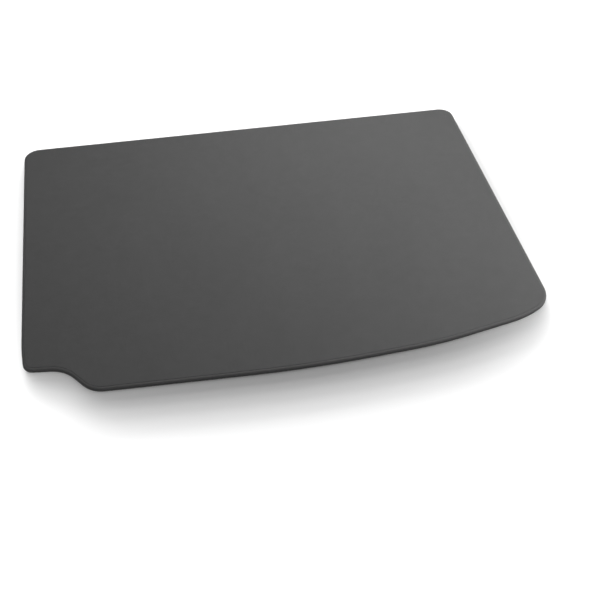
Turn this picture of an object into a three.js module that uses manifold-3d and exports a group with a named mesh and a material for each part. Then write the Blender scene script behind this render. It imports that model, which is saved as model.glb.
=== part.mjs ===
// A trunk mat: a flat carpet sheet cut to the floor of a hatchback's trunk, with its cut edge
// overcast in thick yarn. It lies on its backing, pile up. The straight front edge, which goes
// behind the rear seats, is at +Y. The rear edge, at -Y, bows out to the sill, and its left end
// steps back around the corner trim of the trunk.
// Units are millimetres, +X is to the right, +Z is up, and the origin is the middle of the
// bounding box on the face that the mat lies on.

import * as THREE from 'three';
import { mergeVertices } from 'three/addons/utils/BufferGeometryUtils.js';
import Module from 'manifold-3d';

// The plan. Widths run to the right from the straight left side, lengths run to the rear.
const matWidth = 1000;
const frontLeftRadius = 35;
const frontRightRadius = 30;

// The rear left lobe, whose side draws in a little on its way to the corner.
const lobeLength = 699;
const drawInLength = 58;
const drawInWidth = 4;
const drawInRadius = 550;
const lobeRadius = 20;

// The notch beside the lobe: its edge falls a little, then the flank drops away.
const notchWidth = 76;
const lobeFall = 8;
const flankWidth = 46;
const flankLength = 62;
const notchInnerRadius = 58;
const notchOuterRadius = 48;

// The bowed rear edge: out to its crown, then back by a sweep and a shoulder to the right side.
const crownOffset = 12;
const crownFall = 13;
const crownRadius = 2200;
const sweepWidth = 239;
const sweepRise = 18;
const sweepRadius = 900;
const shoulderWidth = 60;
const shoulderRise = 39;
const shoulderRadius = 210;
const cornerRise = 34;
const rearRightRadius = 61;

// The section: the carpet's whole thickness, and the yarn around its pressed-down margin.
const sheetThickness = 10;
const pileRounding = 1.5;
const bindingDrop = 0.5;
const bindingWidth = 6;
const bindingRounding = 3;
const yarnThickness = 1.6;
const seatClearance = 0.3;

// Half the chords in an arc of the plan, and the steps in a rounded edge.
const arcDivisions = 4;
const roundingSteps = 3;

// The share of an edge that the roundings at its two ends may take up.
const roundedShare = 0.99;

const mergeTolerance = 0.001;

const wasm = await Module();
wasm.setup();

// The corners of the plan with their radii, counterclockwise from the front left.
function planCorners() {
  const lobe = { x: drawInWidth, y: -lobeLength, radius: lobeRadius };
  const drawIn = { x: 0, y: lobe.y + drawInLength, radius: drawInRadius };
  const notchInner = { x: notchWidth, y: lobe.y - lobeFall, radius: notchInnerRadius };
  const notchOuter = {
    x: notchInner.x + flankWidth,
    y: notchInner.y - flankLength,
    radius: notchOuterRadius,
  };
  const crown = {
    x: matWidth / 2 + crownOffset,
    y: notchOuter.y - crownFall,
    radius: crownRadius,
  };
  const sweep = { x: matWidth - sweepWidth, y: crown.y + sweepRise, radius: sweepRadius };
  const shoulder = {
    x: matWidth - shoulderWidth,
    y: sweep.y + shoulderRise,
    radius: shoulderRadius,
  };
  const rearRight = { x: matWidth, y: shoulder.y + cornerRise, radius: rearRightRadius };
  const frontRight = { x: matWidth, y: 0, radius: frontRightRadius };
  const frontLeft = { x: 0, y: 0, radius: frontLeftRadius };
  return [
    frontLeft,
    drawIn,
    lobe,
    notchInner,
    notchOuter,
    crown,
    sweep,
    shoulder,
    rearRight,
    frontRight,
  ];
}

// The arc that rounds each corner: its centre, radius, side and end angles. Where the roundings
// at the two ends of an edge would meet, both are made smaller.
function cornerArcs(corners) {
  const points = corners.map((corner) => new THREE.Vector2(corner.x, corner.y));
  const edges = points.map((point, i) => points[(i + 1) % points.length].clone().sub(point));
  const turns = edges.map((edge, i) => {
    const before = edges.at(i - 1);
    return Math.atan2(before.cross(edge), before.dot(edge));
  });
  const reaches = corners.map((corner, i) => corner.radius * Math.tan(Math.abs(turns[i]) / 2));
  const shares = edges.map((edge, i) => {
    const taken = reaches[i] + reaches[(i + 1) % reaches.length];
    return Math.min(1, (roundedShare * edge.length()) / taken);
  });
  return corners.map((corner, i) => {
    const share = Math.min(shares.at(i - 1), shares[i]);
    const radius = corner.radius * share;
    const side = Math.sign(turns[i]);
    const along = edges.at(i - 1).clone().normalize();
    const inwards = new THREE.Vector2(-along.y, along.x).multiplyScalar(side);
    const centre = points[i].clone();
    centre.addScaledVector(along, -reaches[i] * share);
    centre.addScaledVector(inwards, radius);
    const startAngle = Math.atan2(-inwards.y, -inwards.x);
    return { centre, radius, side, startAngle, endAngle: startAngle + turns[i] };
  });
}

const planArcs = cornerArcs(planCorners());

// The plan as a shape, moved in from the edge by the inset. Its arcs keep their centres.
function planShape(inset) {
  const shape = new THREE.Shape();
  for (const { centre, radius, side, startAngle, endAngle } of planArcs) {
    shape.absarc(centre.x, centre.y, radius - side * inset, startAngle, endAngle, side < 0);
  }
  return shape;
}

// A plate of the plan between two heights, with its upper and lower edges rounded.
function plate(inset, bottom, top, rounding = 0) {
  const round = THREE.MathUtils.clamp(rounding, 0, (top - bottom) / 2 - mergeTolerance);
  const geometry = new THREE.ExtrudeGeometry(planShape(inset), {
    depth: top - bottom - 2 * round,
    curveSegments: arcDivisions,
    bevelEnabled: round > 0,
    bevelThickness: round,
    bevelSize: round,
    bevelOffset: -round,
    bevelSegments: roundingSteps,
  });
  geometry.translate(0, 0, bottom + round);
  return solidOf(geometry);
}

function solidOf(geometry) {
  geometry.deleteAttribute('normal');
  geometry.deleteAttribute('uv');
  const merged = mergeVertices(geometry, mergeTolerance);
  return new wasm.Manifold(
    new wasm.Mesh({
      numProp: 3,
      vertProperties: merged.attributes.position.array,
      triVerts: new Uint32Array(merged.index.array),
    }),
  );
}

function meshOf(name, solid, material) {
  const { vertProperties, triVerts } = solid.getMesh();
  const geometry = new THREE.BufferGeometry();
  geometry.setAttribute('position', new THREE.BufferAttribute(vertProperties, 3));
  geometry.setIndex(new THREE.BufferAttribute(triVerts, 1));
  geometry.computeVertexNormals();
  const mesh = new THREE.Mesh(geometry, material);
  mesh.name = name;
  return mesh;
}

// The carpet, pile and backing in one: whole thickness inside the yarn, and a thinner margin
// that the yarn presses down, which ends a clearance short of the yarn's inside.
function carpetSheet() {
  const marginInset = yarnThickness + seatClearance;
  const marginTop = sheetThickness - bindingDrop - marginInset;
  const face = plate(bindingWidth + seatClearance, 0, sheetThickness, pileRounding);
  const margin = plate(marginInset, marginInset, marginTop, bindingRounding - marginInset);
  return face.add(margin);
}

// The overcast yarn: one closed round that wraps the margin from the pile to the backing.
function edgeBinding() {
  const bindingTop = sheetThickness - bindingDrop;
  const channelTop = bindingTop - yarnThickness;
  const channelRounding = bindingRounding - yarnThickness;
  const outside = plate(0, 0, bindingTop, bindingRounding);
  const window = plate(bindingWidth, -sheetThickness, 2 * sheetThickness);
  const channel = plate(yarnThickness, yarnThickness, channelTop, channelRounding);
  return outside.subtract(window).subtract(channel);
}

const carpetMaterial = new THREE.MeshStandardMaterial({
  color: 0x5a5a5a,
  roughness: 0.95,
  metalness: 0,
});
const yarnMaterial = new THREE.MeshStandardMaterial({
  color: 0x505050,
  roughness: 0.85,
  metalness: 0,
});

const trunkMat = new THREE.Group();
trunkMat.add(meshOf('carpet_sheet', carpetSheet(), carpetMaterial));
trunkMat.add(meshOf('edge_binding', edgeBinding(), yarnMaterial));

// The origin goes to the middle of the plan's bounding box.
const planBox = new THREE.Box2().setFromPoints(planShape(0).getPoints(arcDivisions));
const middle = planBox.getCenter(new THREE.Vector2());
trunkMat.position.set(-middle.x, -middle.y, 0);

export default trunkMat;
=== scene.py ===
"""A trunk mat on a pale floor: a dark grey cut-pile carpet sheet whose edge is overcast in yarn.

Everything is in metres in the frame's own axes. The mat lies on its backing at height zero,
its straight front edge at +Y and its bowed rear edge at -Y.
"""

import math
from collections import namedtuple

import bmesh
import bpy
import numpy as np
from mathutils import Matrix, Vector, noise
from mathutils.geometry import delaunay_2d_cdt


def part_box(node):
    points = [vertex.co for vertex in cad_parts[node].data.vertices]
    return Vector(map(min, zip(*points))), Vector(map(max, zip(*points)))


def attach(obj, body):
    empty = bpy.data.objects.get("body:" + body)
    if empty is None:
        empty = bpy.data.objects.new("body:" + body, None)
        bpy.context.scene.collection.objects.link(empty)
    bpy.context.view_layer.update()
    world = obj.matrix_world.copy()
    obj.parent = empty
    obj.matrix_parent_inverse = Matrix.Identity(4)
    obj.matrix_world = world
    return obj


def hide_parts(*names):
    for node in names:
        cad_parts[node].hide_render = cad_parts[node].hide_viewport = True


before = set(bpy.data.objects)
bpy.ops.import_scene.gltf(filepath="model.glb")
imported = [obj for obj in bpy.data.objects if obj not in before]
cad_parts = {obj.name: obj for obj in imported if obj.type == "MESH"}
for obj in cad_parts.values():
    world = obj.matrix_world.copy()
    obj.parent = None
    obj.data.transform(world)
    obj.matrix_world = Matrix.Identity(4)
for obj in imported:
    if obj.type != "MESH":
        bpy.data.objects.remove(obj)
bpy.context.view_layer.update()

MM = 0.001

mat_low, mat_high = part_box("edge_binding")
pile_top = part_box("carpet_sheet")[1].z
binding_top = mat_high.z
mat_width = mat_high.x - mat_low.x

# The plan, as in the frame. Widths run right from the left side, lengths run to the rear.
FRONT_LEFT_RADIUS = 35 * MM
FRONT_RIGHT_RADIUS = 30 * MM
LOBE_LENGTH = 699 * MM
DRAW_IN_LENGTH = 58 * MM
DRAW_IN_WIDTH = 4 * MM
DRAW_IN_RADIUS = 550 * MM
LOBE_RADIUS = 20 * MM
NOTCH_WIDTH = 76 * MM
LOBE_FALL = 8 * MM
FLANK_WIDTH = 46 * MM
FLANK_LENGTH = 62 * MM
NOTCH_INNER_RADIUS = 58 * MM
NOTCH_OUTER_RADIUS = 48 * MM
CROWN_OFFSET = 12 * MM
CROWN_FALL = 13 * MM
CROWN_RADIUS = 2200 * MM
SWEEP_WIDTH = 239 * MM
SWEEP_RISE = 18 * MM
SWEEP_RADIUS = 900 * MM
SHOULDER_WIDTH = 60 * MM
SHOULDER_RISE = 39 * MM
SHOULDER_RADIUS = 210 * MM
CORNER_RISE = 34 * MM
REAR_RIGHT_RADIUS = 61 * MM

# The section of the edge, as in the frame.
BINDING_WIDTH = 6 * MM
BINDING_ROUNDING = 3 * MM
YARN_WALL = 1.6 * MM
SEAT_CLEARANCE = 0.3 * MM
ROUNDING_STEPS = 3

# One turn of the overcast yarn: half its thickness off the surface and along the edge, how far
# it slants and tucks in at its ends, and how much the turns differ, in degrees and as a share.
YARN_RISE = 0.95 * MM
YARN_HALF_WIDTH = 1.2 * MM
YARN_PITCH = 2.3 * MM
YARN_SLANT = 2.0 * MM
YARN_TUCK = 0.3 * MM
YARN_TUCK_REACH = 0.2 * MM
YARN_SIDES = 6
YARN_BEND_STEPS = 2
YARN_WOBBLE = (0.5, 0.5, 2.5)
YARN_LEAST_SIZE = (0.97, 1, 1)
YARN_MOST_SIZE = (1.05, 1, 1)
YARN_LAY = "yarn_lay"

# The core under the turns: how deep it lies below their tops, and how far its lips stop short
# of their ends.
CORE_DEPTH = 0.55 * MM
CORE_LIP = 0.3 * MM

# The needle thread, whose short stitches hold the inner ends of the yarn. Their ends dip by a
# share of the thread's radius, and they differ a little in heading, in degrees, and in length.
STITCH_LENGTH = 2.1 * MM
STITCH_RADIUS = 0.28 * MM
STITCH_INSET = 4.5 * MM
STITCH_DEPTH = 0.3 * MM
STITCH_DIP = 0.5
STITCH_SIDES = 6
STITCH_RINGS = 4
STITCH_WOBBLE = (0, 0, 4)
STITCH_LEAST_SIZE = (0.9, 1, 1)
STITCH_MOST_SIZE = (1.05, 1, 1)

# The pile face: how it rolls off at the yarn, how far it leans out over it, and how level it is.
ROLL_WIDTH = 1.8 * MM
ROLL_DROP = 0.5 * MM
ROLL_STEPS = 6
ROLL_DROP_POWER = 3
ROLL_REACH_POWER = 1.6
PILE_LEAN = 0.9 * MM
PILE_SWELL = 0.12 * MM
SWELL_LENGTH = 90 * MM
SWELL_FADE = 40 * MM

# How the backing rounds up at the yarn, as distances in from the sheet's step and heights, and
# the height below which the sheet shows its backing.
BACKING_LIP = ((4 * MM, 0), (1.5 * MM, 0), (0.4 * MM, 0.4 * MM), (0, 1.2 * MM))
BACKING_TOP = 0.5 * MM

# How finely the outline is cut, and the points in the faces: their spacing, and as shares of it
# how far they stray and how near the rim they come.
ARC_CHORD = 4 * MM
STRAIGHT_CHORD = 9 * MM
LEAST_CHORDS = 6
PILE_SPACING = 8 * MM
BACKING_SPACING = 40 * MM
POINT_STRAY = 0.3
RIM_MARGIN = 0.6

# How near points are taken as one when a face is filled, and the filling's code for keeping only
# what lies inside the rim.
MERGE_DISTANCE = 1e-7
KEEP_INSIDE = 1

# The camera that the photograph's perspective gives, as place, pitch and heading.
CAMERA_PLACE = (-0.2418, -1.6667, 1.3660)
CAMERA_TILT = math.radians(90 - 42.611)
CAMERA_HEADING = math.radians(-10.431)
CAMERA_LENS = 62.65
SENSOR_WIDTH = 36

# The greys of the surfaces, where one is white.
PILE_GREY = 0.082
# The yarn's grey is painted lighter than the pile's to make up for the shade between its turns:
# painted light.
YARN_GREY_WITH_PAINTED_LIGHT = 0.106
FELT_GREYS = (0.036, 0.085)
THREAD_GREYS = (0.095, 0.125)

# How fine the patterns are, as scales. A higher one is finer.
PILE_FIBRES = 2600
PILE_BUNCHES = 900
PILE_TUFTS = 560
PILE_MOTTLING = 55
PILE_BRUSHING = (9, 3.5, 1)
FELT_FIBRES = 900
YARN_FILAMENTS = (3200, 260, 1)
YARN_TWIST = math.radians(14)
YARN_FUZZ = 3000
YARN_TONES = 330
THREAD_TWIST = 1800

# The range that holds most of a noise's values.
NOISE_LOW = 0.25
NOISE_HIGH = 0.75

# The floor: its side, its grey as it shows and as it lights the mat, and the distances from its
# middle between which it fades to white.
FLOOR_SIDE = 12
FLOOR_SEEN = 0.95
FLOOR_BOUNCE = 0.4
FADE_START = 1.0
FADE_END = 2.0

# What lights the mat: an even sky, a key panel above and behind at the right, and a weaker panel
# lower down at the right.
MAT_MIDDLE = (0, 0, 0)
SKY_LEVEL = 0.30
KEY_PLACE = (0.354, 0.532, 0.774)
KEY_SIZE = (0.9, 0.7)
KEY_POWER = 7.8
SIDE_PLACE = (1.0, -0.44, 0.6)
SIDE_SIZE = (0.5, 0.4)
SIDE_POWER = 7.1

# Far panels behind the mat light the floor and cast its long soft shadow. Each has a name, an
# elevation in degrees, a shape, a size and a power.
PANEL_DISTANCE = 12
PANEL_AZIMUTH = -1
FAR_PANELS = (
    ("wide_low_panel", 3.8, "RECTANGLE", (48, 0.75), 18500),
    ("low_panel", 5.1, "ELLIPSE", (14, 1.4), 6100),
    ("raised_panel", 8.5, "ELLIPSE", (32, 2.0), 3700),
    ("middle_panel", 15, "ELLIPSE", (32, 3.4), 1500),
)

# Two small panels let the shadow fade at its ends. Each has a name, a place, a target and a
# power.
END_PANEL_SIZE = (0.2, 0.2)
END_PANELS = (
    ("left_end_panel", (-0.70, -0.46, 0.10), (-0.44, -0.34, 0), 0.58),
    ("right_end_panel", (0.72, -0.42, 0.10), (0.46, -0.32, 0), 0.9),
)

SEED = 7

Arc = namedtuple("Arc", "centre radius side start turn")


# Camera, light and floor

def make_camera():
    camera = bpy.data.objects.new("camera", bpy.data.cameras.new("camera"))
    camera.data.lens = CAMERA_LENS
    camera.data.sensor_width = SENSOR_WIDTH
    camera.location = CAMERA_PLACE
    camera.rotation_euler = (CAMERA_TILT, 0, CAMERA_HEADING)
    bpy.context.collection.objects.link(camera)
    bpy.context.scene.camera = camera


def seen_rays(nodes, links):
    """A socket that is one for rays from the camera and from shiny or clear surfaces, and zero
    for those that carry plain scattered light."""
    path = nodes.new("ShaderNodeLightPath")
    seen = path.outputs["Is Camera Ray"]
    for kind in ("Is Glossy Ray", "Is Transmission Ray"):
        either = nodes.new("ShaderNodeMath")
        either.operation = "MAXIMUM"
        links.new(seen, either.inputs[0])
        links.new(path.outputs[kind], either.inputs[1])
        seen = either.outputs[0]
    return seen


def make_world(level):
    """An even sky that lights at the level and shows as plain white."""
    world = bpy.data.worlds.new("soft_sky")
    bpy.context.scene.world = world
    world.use_nodes = True
    nodes, links = world.node_tree.nodes, world.node_tree.links
    nodes.clear()
    output = nodes.new("ShaderNodeOutputWorld")
    mix = nodes.new("ShaderNodeMixShader")
    seen = nodes.new("ShaderNodeBackground")
    lighting = nodes.new("ShaderNodeBackground")
    seen.inputs["Strength"].default_value = 1
    seen.inputs["Color"].default_value = grey(1)
    lighting.inputs["Strength"].default_value = level
    lighting.inputs["Color"].default_value = grey(1)
    links.new(seen_rays(nodes, links), mix.inputs["Fac"])
    links.new(lighting.outputs[0], mix.inputs[1])
    links.new(seen.outputs[0], mix.inputs[2])
    links.new(mix.outputs[0], output.inputs["Surface"])


def make_panel(name, place, target, shape, size, power, lit):
    """A soft lamp panel that faces the target and lights only the listed objects."""
    data = bpy.data.lights.new(name, "AREA")
    data.shape = shape
    data.size, data.size_y = size
    data.energy = power
    panel = bpy.data.objects.new(name, data)
    panel.location = place
    away = Vector(place) - Vector(target)
    panel.rotation_euler = away.to_track_quat("Z", "Y").to_euler()
    panel.visible_camera = False
    bpy.context.collection.objects.link(panel)
    group = bpy.data.collections.new("lit_by_" + name)
    for item in lit:
        group.objects.link(item)
    panel.light_linking.receiver_collection = group


def bearing(distance, azimuth, elevation):
    """A place at a distance from the mat's middle. Azimuth runs from +Y towards +X."""
    level = distance * math.cos(math.radians(elevation))
    turn = math.radians(azimuth)
    height = distance * math.sin(math.radians(elevation))
    return (level * math.sin(turn), level * math.cos(turn), height)


def make_floor():
    mesh = bpy.data.meshes.new("floor")
    half = FLOOR_SIDE / 2
    corners = [(-half, -half, 0), (half, -half, 0), (half, half, 0), (-half, half, 0)]
    mesh.from_pydata(corners, [], [(0, 1, 2, 3)])
    mesh.materials.append(floor_material())
    floor = bpy.data.objects.new("floor", mesh)
    bpy.context.collection.objects.link(floor)
    return floor


def floor_material():
    """Plain pale board. It throws back less light than it shows, so the mat's edge stays dark,
    and away from the mat it fades to plain white."""
    material, shader = new_material("pale_floor")
    nodes, links = material.node_tree.nodes, material.node_tree.links
    seen = seen_rays(nodes, links)
    colour = nodes.new("ShaderNodeMix")
    colour.data_type = "RGBA"
    colour.inputs["A"].default_value = grey(FLOOR_BOUNCE)
    colour.inputs["B"].default_value = grey(FLOOR_SEEN)
    links.new(seen, colour.inputs["Factor"])
    links.new(colour.outputs["Result"], shader.inputs["Base Color"])
    shader.inputs["Roughness"].default_value = 1
    shader.inputs["Specular IOR Level"].default_value = 0
    away = nodes.new("ShaderNodeVectorMath")
    away.operation = "LENGTH"
    links.new(nodes.new("ShaderNodeTexCoord").outputs["Object"], away.inputs[0])
    fade = nodes.new("ShaderNodeMapRange")
    fade.interpolation_type = "SMOOTHSTEP"
    fade.inputs["From Min"].default_value = FADE_START
    fade.inputs["From Max"].default_value = FADE_END
    links.new(away.outputs["Value"], fade.inputs["Value"])
    seen_fade = nodes.new("ShaderNodeMath")
    seen_fade.operation = "MULTIPLY"
    links.new(fade.outputs["Result"], seen_fade.inputs[0])
    links.new(seen, seen_fade.inputs[1])
    white = nodes.new("ShaderNodeEmission")
    white.inputs["Color"].default_value = grey(1)
    white.inputs["Strength"].default_value = 1
    surface = nodes.new("ShaderNodeMixShader")
    links.new(seen_fade.outputs[0], surface.inputs["Fac"])
    links.new(shader.outputs[0], surface.inputs[1])
    links.new(white.outputs[0], surface.inputs[2])
    links.new(surface.outputs[0], nodes["Material Output"].inputs["Surface"])
    return material


# Materials

def new_material(name):
    material = bpy.data.materials.new(name)
    material.use_nodes = True
    return material, material.node_tree.nodes["Principled BSDF"]


def grey(level):
    return (level, level, level, 1)


class Weave:
    """Small helpers that lay a material's pattern nodes out on object coordinates."""

    def __init__(self, material):
        self.nodes = material.node_tree.nodes
        self.links = material.node_tree.links
        self.place = self.nodes.new("ShaderNodeTexCoord").outputs["Object"]

    def stretched(self, scale):
        mapping = self.nodes.new("ShaderNodeMapping")
        mapping.inputs["Scale"].default_value = scale
        self.links.new(self.place, mapping.inputs["Vector"])
        return mapping.outputs["Vector"]

    def noise(self, scale, detail=2.0, roughness=0.5, place=None):
        node = self.nodes.new("ShaderNodeTexNoise")
        node.inputs["Scale"].default_value = scale
        node.inputs["Detail"].default_value = detail
        node.inputs["Roughness"].default_value = roughness
        self.links.new(place or self.place, node.inputs["Vector"])
        return node.outputs["Fac"]

    def cells(self, scale):
        node = self.nodes.new("ShaderNodeTexVoronoi")
        node.inputs["Scale"].default_value = scale
        self.links.new(self.place, node.inputs["Vector"])
        return node.outputs["Distance"]

    def spread(self, value, low, high):
        """A noise's values spread over the range from low to high."""
        node = self.nodes.new("ShaderNodeMapRange")
        node.inputs["From Min"].default_value = NOISE_LOW
        node.inputs["From Max"].default_value = NOISE_HIGH
        node.inputs["To Min"].default_value = low
        node.inputs["To Max"].default_value = high
        self.links.new(value, node.inputs["Value"])
        return node.outputs["Result"]

    def product(self, factors):
        """The factors multiplied together."""
        result = factors[0]
        for factor in factors[1:]:
            node = self.nodes.new("ShaderNodeMath")
            node.operation = "MULTIPLY"
            self.links.new(result, node.inputs[0])
            self.links.new(factor, node.inputs[1])
            result = node.outputs[0]
        return result

    def shade(self, factor, level):
        """A grey level times a factor that is one on average."""
        node = self.nodes.new("ShaderNodeVectorMath")
        node.operation = "SCALE"
        node.inputs[0].default_value = (level, level, level)
        self.links.new(factor, node.inputs["Scale"])
        return node.outputs[0]

    def tint(self, value, dark, light):
        node = self.nodes.new("ShaderNodeMix")
        node.data_type = "RGBA"
        node.inputs["A"].default_value = grey(dark)
        node.inputs["B"].default_value = grey(light)
        self.links.new(value, node.inputs["Factor"])
        return node.outputs["Result"]

    def bump(self, height, distance, strength, under=None):
        node = self.nodes.new("ShaderNodeBump")
        node.inputs["Distance"].default_value = distance
        node.inputs["Strength"].default_value = strength
        self.links.new(height, node.inputs["Height"])
        if under:
            self.links.new(under, node.inputs["Normal"])
        return node.outputs["Normal"]


def pile_material():
    """Short cut pile: fibre ends as speckle, painted shade between the tufts, and faint brushed
    shading.
    """
    material, shader = new_material("dark_grey_cut_pile")
    weave = Weave(material)
    fibres = weave.noise(PILE_FIBRES, detail=3, roughness=0.75)
    bunches = weave.noise(PILE_BUNCHES, detail=2)
    tufts_and_gap_shade = weave.cells(PILE_TUFTS)
    mottled = weave.noise(PILE_MOTTLING, detail=2)
    brushed = weave.noise(1, detail=2, place=weave.stretched(PILE_BRUSHING))
    tone = weave.product([
        weave.spread(fibres, low=0.3, high=1.7),
        weave.spread(bunches, low=0.85, high=1.15),
        # The gaps between the tufts are painted darker: painted shade in the recesses.
        weave.spread(tufts_and_gap_shade, low=1.04, high=0.94),
        weave.spread(mottled, low=0.965, high=1.035),
        weave.spread(brushed, low=0.975, high=1.025),
    ])
    weave.links.new(weave.shade(tone, PILE_GREY), shader.inputs["Base Color"])
    gaps = weave.bump(tufts_and_gap_shade, distance=-0.15 * MM, strength=0.4)
    matted = weave.bump(bunches, distance=0.2 * MM, strength=0.4, under=gaps)
    rough = weave.bump(fibres, distance=0.3 * MM, strength=0.8, under=matted)
    weave.links.new(rough, shader.inputs["Normal"])
    shader.inputs["Roughness"].default_value = 0.95
    shader.inputs["Specular IOR Level"].default_value = 0.15
    shader.inputs["Sheen Weight"].default_value = 0.12
    shader.inputs["Sheen Roughness"].default_value = 0.5
    return material


def backing_material():
    """The felted underside, which the photograph doesn't show: plain, dark and matt."""
    material, shader = new_material("dark_felt_backing")
    weave = Weave(material)
    fibres = weave.noise(FELT_FIBRES, detail=3, roughness=0.65)
    weave.links.new(weave.tint(fibres, *FELT_GREYS), shader.inputs["Base Color"])
    felted = weave.bump(fibres, distance=0.3 * MM, strength=0.5)
    weave.links.new(felted, shader.inputs["Normal"])
    shader.inputs["Roughness"].default_value = 0.9
    shader.inputs["Specular IOR Level"].default_value = 0.2
    return material


def yarn_material():
    """Soft bulky yarn, painted lighter than the pile's grey to make up for the shade between its
    turns. Its filaments run along each turn, with a slight twist, and the turns differ a little
    in tone."""
    material, shader = new_material("dark_grey_yarn")
    weave = Weave(material)
    lay = weave.nodes.new("ShaderNodeUVMap")
    lay.uv_map = YARN_LAY
    twist = weave.nodes.new("ShaderNodeMapping")
    twist.inputs["Rotation"].default_value = (0, 0, YARN_TWIST)
    twist.inputs["Scale"].default_value = YARN_FILAMENTS
    weave.links.new(lay.outputs["UV"], twist.inputs["Vector"])
    filaments = weave.noise(1, detail=2, roughness=0.6, place=twist.outputs["Vector"])
    fuzz = weave.noise(YARN_FUZZ, detail=2, roughness=0.7)
    turns = weave.noise(YARN_TONES, detail=1)
    tone = weave.product([
        weave.spread(filaments, low=0.7, high=1.3),
        weave.spread(fuzz, low=0.8, high=1.2),
        weave.spread(turns, low=0.93, high=1.07),
    ])
    # The yarn's grey carries painted light that offsets the shade between its turns.
    weave.links.new(weave.shade(tone, YARN_GREY_WITH_PAINTED_LIGHT), shader.inputs["Base Color"])
    ribbed = weave.bump(filaments, distance=0.3 * MM, strength=0.7)
    fuzzy = weave.bump(fuzz, distance=0.15 * MM, strength=0.6, under=ribbed)
    weave.links.new(fuzzy, shader.inputs["Normal"])
    shader.inputs["Roughness"].default_value = 0.85
    shader.inputs["Specular IOR Level"].default_value = 0.2
    shader.inputs["Sheen Weight"].default_value = 0.12
    shader.inputs["Sheen Roughness"].default_value = 0.4
    return material


def thread_material():
    """The needle thread: thin, hard-twisted and much the yarn's own grey."""
    material, shader = new_material("dark_needle_thread")
    weave = Weave(material)
    twist = weave.noise(THREAD_TWIST, detail=1)
    weave.links.new(weave.tint(twist, *THREAD_GREYS), shader.inputs["Base Color"])
    shader.inputs["Roughness"].default_value = 0.6
    return material


# The plan's outline

def plan_corners():
    """The corners of the plan from the front left, counterclockwise, each with its radius."""
    lobe = (DRAW_IN_WIDTH, -LOBE_LENGTH)
    draw_in = (0, lobe[1] + DRAW_IN_LENGTH)
    notch_inner = (NOTCH_WIDTH, lobe[1] - LOBE_FALL)
    notch_outer = (notch_inner[0] + FLANK_WIDTH, notch_inner[1] - FLANK_LENGTH)
    crown = (mat_width / 2 + CROWN_OFFSET, notch_outer[1] - CROWN_FALL)
    sweep = (mat_width - SWEEP_WIDTH, crown[1] + SWEEP_RISE)
    shoulder = (mat_width - SHOULDER_WIDTH, sweep[1] + SHOULDER_RISE)
    return [
        ((0, 0), FRONT_LEFT_RADIUS),
        (draw_in, DRAW_IN_RADIUS),
        (lobe, LOBE_RADIUS),
        (notch_inner, NOTCH_INNER_RADIUS),
        (notch_outer, NOTCH_OUTER_RADIUS),
        (crown, CROWN_RADIUS),
        (sweep, SWEEP_RADIUS),
        (shoulder, SHOULDER_RADIUS),
        ((mat_width, shoulder[1] + CORNER_RISE), REAR_RIGHT_RADIUS),
        ((mat_width, 0), FRONT_RIGHT_RADIUS),
    ]


def plan_arcs():
    """The arc that rounds each corner, in the frame's place."""
    corners = plan_corners()
    origin = Vector((mat_low.x, mat_high.y))
    points = [origin + Vector(point) for point, radius in corners]
    arcs = []
    for i, (corner, radius) in enumerate(corners):
        into = (points[i] - points[i - 1]).normalized()
        out = (points[(i + 1) % len(points)] - points[i]).normalized()
        turn = math.atan2(into.x * out.y - into.y * out.x, into.dot(out))
        side = math.copysign(1, turn)
        inwards = Vector((-into.y, into.x)) * side
        reach = radius * math.tan(abs(turn) / 2)
        centre = points[i] - into * reach + inwards * radius
        start = math.atan2(-inwards.y, -inwards.x)
        arcs.append(Arc(centre, radius, side, start, turn))
    return arcs


PLAN_ARCS = plan_arcs()


def arc_point(arc, share, inset):
    angle = arc.start + arc.turn * share
    radius = arc.radius - arc.side * inset
    return arc.centre + radius * Vector((math.cos(angle), math.sin(angle)))


def chords(length, chord):
    return max(LEAST_CHORDS, math.ceil(length / chord))


def plan_loop(inset):
    """The outline moved in by the inset, with as many points at any inset."""
    loop = []
    for i, arc in enumerate(PLAN_ARCS):
        after = PLAN_ARCS[(i + 1) % len(PLAN_ARCS)]
        steps = chords(arc.radius * abs(arc.turn), ARC_CHORD)
        loop += [arc_point(arc, step / steps, inset) for step in range(steps)]
        gap = arc_point(after, 0, 0) - arc_point(arc, 1, 0)
        steps = chords(gap.length, STRAIGHT_CHORD)
        start, end = arc_point(arc, 1, inset), arc_point(after, 0, inset)
        loop += [start.lerp(end, step / steps) for step in range(steps)]
    return loop


# Mesh building

def add_ring(mesh, inset, height):
    return [mesh.verts.new((*point, height)) for point in plan_loop(inset)]


def skin(mesh, lower, upper):
    """Joins two rings with quads. Faces look out where upper comes after lower around a section
    that is walked inwards over the top."""
    count = len(lower)
    faces = []
    for i in range(count):
        j = (i + 1) % count
        faces.append(mesh.faces.new((lower[i], lower[j], upper[j], upper[i])))
    return faces


def skin_all(mesh, rings, closed):
    pairs = list(zip(rings, rings[1:]))
    if closed:
        pairs.append((rings[-1], rings[0]))
    for lower, upper in pairs:
        skin(mesh, lower, upper)


def finished(mesh, name, materials):
    """The mesh as an object of its own, shaded smooth."""
    data = bpy.data.meshes.new(name)
    mesh.normal_update()
    for face in mesh.faces:
        face.smooth = True
    mesh.to_mesh(data)
    mesh.free()
    for material in materials:
        data.materials.append(material)
    piece = bpy.data.objects.new(name, data)
    bpy.context.collection.objects.link(piece)
    return piece


def quarter(centre_height, radius, first, last, steps=ROUNDING_STEPS):
    """Section points on an arc around the edge's rounding between two angles, where zero points
    out and 90 degrees up."""
    points = []
    for step in range(steps + 1):
        angle = math.radians(first + (last - first) * step / steps)
        inset = BINDING_ROUNDING - radius * math.cos(angle)
        points.append((inset, centre_height + radius * math.sin(angle)))
    return points


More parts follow.
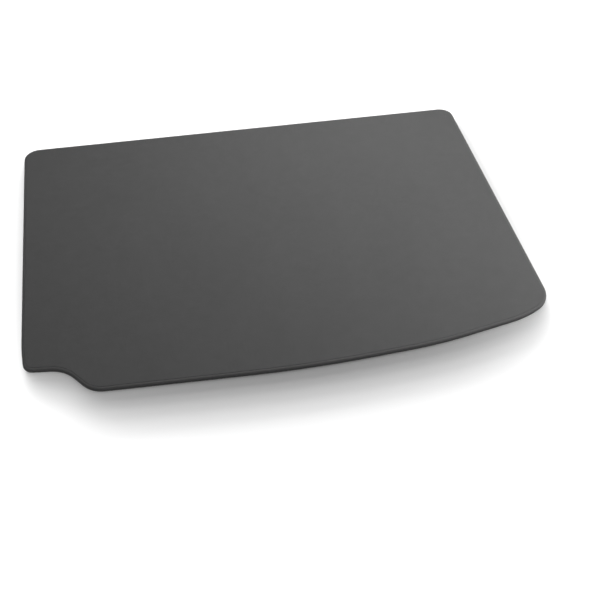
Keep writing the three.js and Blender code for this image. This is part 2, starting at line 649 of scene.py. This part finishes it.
def inside_points(ring, spacing, margin):
    """A jittered grid of points inside a ring, no nearer to it than the margin, and how far each
    is from it."""
    edge = np.array([point.co.xy for point in ring])
    low, high = edge.min(0), edge.max(0)
    draw = np.random.default_rng(SEED)
    columns = np.arange(low[0], high[0], spacing)
    rows = np.arange(low[1], high[1], spacing)
    grid = np.stack(np.meshgrid(columns, rows), -1).reshape(-1, 2)
    grid = grid + draw.uniform(-POINT_STRAY, POINT_STRAY, grid.shape) * spacing
    inside = np.zeros(len(grid), bool)
    nearest = np.full(len(grid), np.inf)
    for a, b in zip(edge, np.roll(edge, -1, 0)):
        nearest = np.minimum(nearest, np.hypot(*(grid - a).T))
        crosses = (a[1] > grid[:, 1]) != (b[1] > grid[:, 1])
        if not crosses.any():
            continue
        where = a[0] + (grid[:, 1] - a[1]) * (b[0] - a[0]) / (b[1] - a[1])
        inside ^= crosses & (grid[:, 0] < where)
    kept = inside & (nearest > margin)
    return grid[kept], nearest[kept]


def fill(mesh, ring, height, spacing, swell, facing_up):
    """Fills a ring with triangles, raised by a gentle swell that fades out at the ring."""
    points, distances = inside_points(ring, spacing, spacing * RIM_MARGIN)
    flat = [Vector(point.co.xy) for point in ring] + [Vector(point) for point in points]
    count = len(ring)
    rim = [(i, (i + 1) % count) for i in range(count)]
    triangles = delaunay_2d_cdt(flat, rim, [], KEEP_INSIDE, MERGE_DISTANCE)[2]
    corners = list(ring)
    for (x, y), distance in zip(points, distances):
        fade = min(1, distance / SWELL_FADE)
        lift = swell * fade * noise.noise(Vector((x, y, 0)) / SWELL_LENGTH)
        corners.append(mesh.verts.new((x, y, height + lift)))
    for a, b, c in triangles:
        order = (a, b, c) if facing_up else (c, b, a)
        mesh.faces.new([corners[i] for i in order])


# The carpet sheet

def sheet_section():
    """Insets and heights of the sheet's section, from inside the underside, out round the margin
    under the yarn, and in over the rolled edge of the pile."""
    margin = YARN_WALL + SEAT_CLEARANCE
    round_off = BINDING_ROUNDING - margin
    shoulder = BINDING_WIDTH + SEAT_CLEARANCE
    under = [(shoulder + inset, height) for inset, height in BACKING_LIP]
    lower = [(shoulder, margin)]
    lower += quarter(BINDING_ROUNDING, round_off, -90, 0)
    upper = quarter(binding_top - BINDING_ROUNDING, round_off, 0, 90)
    upper.append((shoulder, binding_top - margin))
    over = []
    for step in range(ROLL_STEPS + 1):
        share = step / ROLL_STEPS
        drop = ROLL_DROP * (1 - share) ** ROLL_DROP_POWER
        inset = BINDING_WIDTH - PILE_LEAN + ROLL_WIDTH * share ** ROLL_REACH_POWER
        over.append((inset, pile_top - drop))
    return under + lower + upper + over


def make_carpet():
    mesh = bmesh.new()
    rings = [add_ring(mesh, inset, height) for inset, height in sheet_section()]
    skin_all(mesh, rings, closed=False)
    fill(mesh, rings[0], 0, BACKING_SPACING, 0, facing_up=False)
    fill(mesh, rings[-1], pile_top, PILE_SPACING, PILE_SWELL, facing_up=True)
    for face in mesh.faces:
        if max(vert.co.z for vert in face.verts) < BACKING_TOP:
            face.material_index = 1
    return finished(mesh, "carpet", [pile_material(), backing_material()])


# The overcast edge

def core_section():
    """The closed C section under the yarn's turns, walked round its outside from the backing to
    the pile and back along its channel."""
    lower, upper = BINDING_ROUNDING, binding_top - BINDING_ROUNDING
    outer = BINDING_ROUNDING - CORE_DEPTH
    inner = BINDING_ROUNDING - YARN_WALL
    lip = BINDING_WIDTH - CORE_LIP
    section = [(lip, CORE_DEPTH)]
    section += quarter(lower, outer, -90, 0)
    section += quarter(upper, outer, 0, 90)
    section += [(lip, binding_top - CORE_DEPTH), (lip, binding_top - YARN_WALL)]
    section += quarter(upper, inner, 90, 0)
    section += quarter(lower, inner, 0, -90)
    section.append((lip, YARN_WALL))
    return section


def turn_path():
    """The middle line of one turn of yarn as insets and heights, from its tuck in the backing,
    out round the edge and in to its tuck behind the pile."""
    lower, upper = BINDING_ROUNDING, binding_top - BINDING_ROUNDING
    radius = BINDING_ROUNDING - YARN_RISE
    tuck_inset = BINDING_WIDTH + YARN_TUCK_REACH
    end_inset = BINDING_WIDTH - YARN_RISE
    path = [(tuck_inset, YARN_RISE + YARN_TUCK), (end_inset, YARN_RISE)]
    path += quarter(lower, radius, -90, 0, YARN_BEND_STEPS)
    path += quarter(upper, radius, 0, 90, YARN_BEND_STEPS)
    path.append((end_inset, binding_top - YARN_RISE))
    path.append((tuck_inset, binding_top - YARN_RISE - YARN_TUCK))
    return path


def make_turn():
    """One turn of yarn as a closed tube. X runs along the edge and Y into the mat. Its UV map
    gives each point's place around the yarn and along it."""
    path = [Vector(point) for point in turn_path()]
    mesh = bmesh.new()
    lay = mesh.loops.layers.uv.new(YARN_LAY)
    last = len(path) - 1
    around = math.tau * (YARN_RISE + YARN_HALF_WIDTH) / 2 / YARN_SIDES
    rings, lengths = [], []
    for i, (inset, height) in enumerate(path):
        before, after = path[max(i - 1, 0)], path[min(i + 1, last)]
        along = (after - before).normalized()
        outwards = Vector((-along.y, along.x))
        slant = YARN_SLANT * (i / last - 0.5)
        ring = []
        for side in range(YARN_SIDES):
            angle = math.tau * side / YARN_SIDES
            across = slant + YARN_HALF_WIDTH * math.cos(angle)
            off = outwards * YARN_RISE * math.sin(angle)
            ring.append(mesh.verts.new((across, inset + off.x, height + off.y)))
        rings.append(ring)
        lengths.append(lengths[-1] + (path[i] - before).length if lengths else 0)
    for i, (lower, upper) in enumerate(zip(rings, rings[1:])):
        for side, face in enumerate(skin(mesh, lower, upper)):
            sides = (side, side + 1, side + 1, side)
            ends = (lengths[i], lengths[i], lengths[i + 1], lengths[i + 1])
            for loop, step, end in zip(face.loops, sides, ends):
                loop[lay].uv = (step * around, end)
    mesh.faces.new(reversed(rings[0]))
    mesh.faces.new(rings[-1])
    bmesh.ops.recalc_face_normals(mesh, faces=mesh.faces)
    return finished(mesh, "yarn_turn", [])


def make_stitch():
    """One short stitch of the needle thread, its ends dipping in, as a closed spindle."""
    mesh = bmesh.new()
    bmesh.ops.create_uvsphere(
        mesh, u_segments=STITCH_SIDES, v_segments=STITCH_RINGS, radius=1,
    )
    for vert in mesh.verts:
        along, across, up = vert.co.z, vert.co.x, vert.co.y
        dip = -STITCH_DIP * STITCH_RADIUS * along * along
        vert.co = (along * STITCH_LENGTH / 2, across * STITCH_RADIUS, up * STITCH_RADIUS + dip)
    bmesh.ops.recalc_face_normals(mesh, faces=mesh.faces)
    return finished(mesh, "stitch", [])


def add_input(tree, name, kind):
    return tree.interface.new_socket(name, in_out="INPUT", socket_type=kind).identifier


def row_tree(name, settings):
    """A node tree that lays copies of an object evenly along a closed line, turned to follow it
    and each a little different. Returns the tree and its inputs' identifiers."""
    tree = bpy.data.node_groups.new(name, "GeometryNodeTree")
    add_input(tree, "Geometry", "NodeSocketGeometry")
    tree.interface.new_socket("Geometry", in_out="OUTPUT", socket_type="NodeSocketGeometry")
    sockets = {label: add_input(tree, label, kind) for label, (kind, value) in settings.items()}
    nodes, links = tree.nodes, tree.links
    given = nodes.new("NodeGroupInput").outputs
    line = nodes.new("GeometryNodeMeshToCurve")
    links.new(given["Geometry"], line.inputs["Mesh"])
    spaced = nodes.new("GeometryNodeResampleCurve")
    links.new(line.outputs["Curve"], spaced.inputs["Curve"])
    links.new(given["Count"], spaced.inputs["Count"])
    follow = nodes.new("FunctionNodeAlignRotationToVector")
    follow.axis = "X"
    follow.pivot_axis = "Z"
    links.new(nodes.new("GeometryNodeInputTangent").outputs[0], follow.inputs["Vector"])
    loose = nodes.new("FunctionNodeRandomValue")
    loose.data_type = "FLOAT_VECTOR"
    links.new(given["Seed"], loose.inputs["Seed"])
    links.new(given["Least Turn"], loose.inputs["Min"])
    links.new(given["Most Turn"], loose.inputs["Max"])
    as_turn = nodes.new("FunctionNodeEulerToRotation")
    links.new(loose.outputs["Value"], as_turn.inputs["Euler"])
    turned = nodes.new("FunctionNodeRotateRotation")
    turned.rotation_space = "LOCAL"
    links.new(follow.outputs["Rotation"], turned.inputs["Rotation"])
    links.new(as_turn.outputs["Rotation"], turned.inputs["Rotate By"])
    size = nodes.new("FunctionNodeRandomValue")
    size.data_type = "FLOAT_VECTOR"
    links.new(given["Seed"], size.inputs["Seed"])
    links.new(given["Least Size"], size.inputs["Min"])
    links.new(given["Most Size"], size.inputs["Max"])
    copied = nodes.new("GeometryNodeObjectInfo")
    links.new(given["Copied Object"], copied.inputs["Object"])
    laid = nodes.new("GeometryNodeInstanceOnPoints")
    links.new(spaced.outputs["Curve"], laid.inputs["Points"])
    links.new(copied.outputs["Geometry"], laid.inputs["Instance"])
    links.new(turned.outputs["Rotation"], laid.inputs["Rotation"])
    links.new(size.outputs["Value"], laid.inputs["Scale"])
    real = nodes.new("GeometryNodeRealizeInstances")
    links.new(laid.outputs["Instances"], real.inputs["Geometry"])
    dressed = nodes.new("GeometryNodeSetMaterial")
    links.new(real.outputs["Geometry"], dressed.inputs["Geometry"])
    links.new(given["Material"], dressed.inputs["Material"])
    links.new(dressed.outputs["Geometry"], nodes.new("NodeGroupOutput").inputs["Geometry"])
    return tree, sockets


def lay_row(name, inset, height, pitch, copied, material, wobble, least_size, most_size):
    """A plain mesh of many copies of an object, laid along the outline at the inset and the
    height. Each wobbles by up to the given degrees about its axes."""
    points = plan_loop(inset)
    count = len(points)
    length = sum((points[i] - points[i - 1]).length for i in range(count))
    data = bpy.data.meshes.new(name)
    edges = [(i, (i + 1) % count) for i in range(count)]
    data.from_pydata([(*point, height) for point in points], edges, [])
    line = bpy.data.objects.new(name, data)
    bpy.context.collection.objects.link(line)
    most_turn = tuple(math.radians(angle) for angle in wobble)
    least_turn = tuple(-angle for angle in most_turn)
    settings = {
        "Count": ("NodeSocketInt", round(length / pitch)),
        "Seed": ("NodeSocketInt", SEED),
        "Least Turn": ("NodeSocketVector", least_turn),
        "Most Turn": ("NodeSocketVector", most_turn),
        "Least Size": ("NodeSocketVector", least_size),
        "Most Size": ("NodeSocketVector", most_size),
        "Copied Object": ("NodeSocketObject", copied),
        "Material": ("NodeSocketMaterial", material),
    }
    tree, sockets = row_tree(name + "_row", settings)
    modifier = line.modifiers.new(name, "NODES")
    modifier.node_group = tree
    for label, (kind, value) in settings.items():
        modifier[sockets[label]] = value
    view = bpy.context.evaluated_depsgraph_get()
    result = bpy.data.meshes.new_from_object(line.evaluated_get(view))
    bpy.data.objects.remove(line)
    result.name = name
    return result


def make_edging():
    """The overcast yarn: a closed core of C section, and its many slanting turns over it."""
    material = yarn_material()
    mesh = bmesh.new()
    mesh.loops.layers.uv.new(YARN_LAY)
    rings = [add_ring(mesh, inset, height) for inset, height in core_section()]
    skin_all(mesh, rings, closed=True)
    turn = make_turn()
    turns = lay_row(
        "yarn_turns", 0, 0, YARN_PITCH, turn, material,
        YARN_WOBBLE, YARN_LEAST_SIZE, YARN_MOST_SIZE,
    )
    mesh.from_mesh(turns)
    bpy.data.objects.remove(turn)
    bpy.data.meshes.remove(turns)
    for face in mesh.faces:
        face.material_index = 0
    return finished(mesh, "yarn_edging", [material])


def make_thread():
    """The needle thread's stitches along the yarn's inner ends, on the pile and underneath."""
    material = thread_material()
    stitch = make_stitch()
    mesh = bmesh.new()
    for height in (binding_top - STITCH_DEPTH, STITCH_RADIUS):
        row = lay_row(
            "stitches", STITCH_INSET, height, YARN_PITCH, stitch, material,
            STITCH_WOBBLE, STITCH_LEAST_SIZE, STITCH_MOST_SIZE,
        )
        mesh.from_mesh(row)
        bpy.data.meshes.remove(row)
    bpy.data.objects.remove(stitch)
    for face in mesh.faces:
        face.material_index = 0
    return finished(mesh, "needle_thread", [material])


# The whole scene

bpy.context.scene.view_settings.view_transform = "Standard"
make_camera()
make_world(SKY_LEVEL)
floor = make_floor()

carpet = make_carpet()
edging = make_edging()
thread = make_thread()

mat = (carpet, edging, thread)
make_panel("key_panel", KEY_PLACE, MAT_MIDDLE, "RECTANGLE", KEY_SIZE, KEY_POWER, mat)
make_panel("side_panel", SIDE_PLACE, MAT_MIDDLE, "RECTANGLE", SIDE_SIZE, SIDE_POWER, mat)
for name, elevation, shape, size, power in FAR_PANELS:
    place = bearing(PANEL_DISTANCE, PANEL_AZIMUTH, elevation)
    make_panel(name, place, MAT_MIDDLE, shape, size, power, (floor,))
for name, place, target, power in END_PANELS:
    make_panel(name, place, target, "RECTANGLE", END_PANEL_SIZE, power, (floor,))

for piece, node, slot in (
    (carpet, "carpet_sheet", "carpet"),
    (edging, "edge_binding", "edging_yarn"),
):
    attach(piece, "root")
    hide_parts(node)
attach(thread, "root")
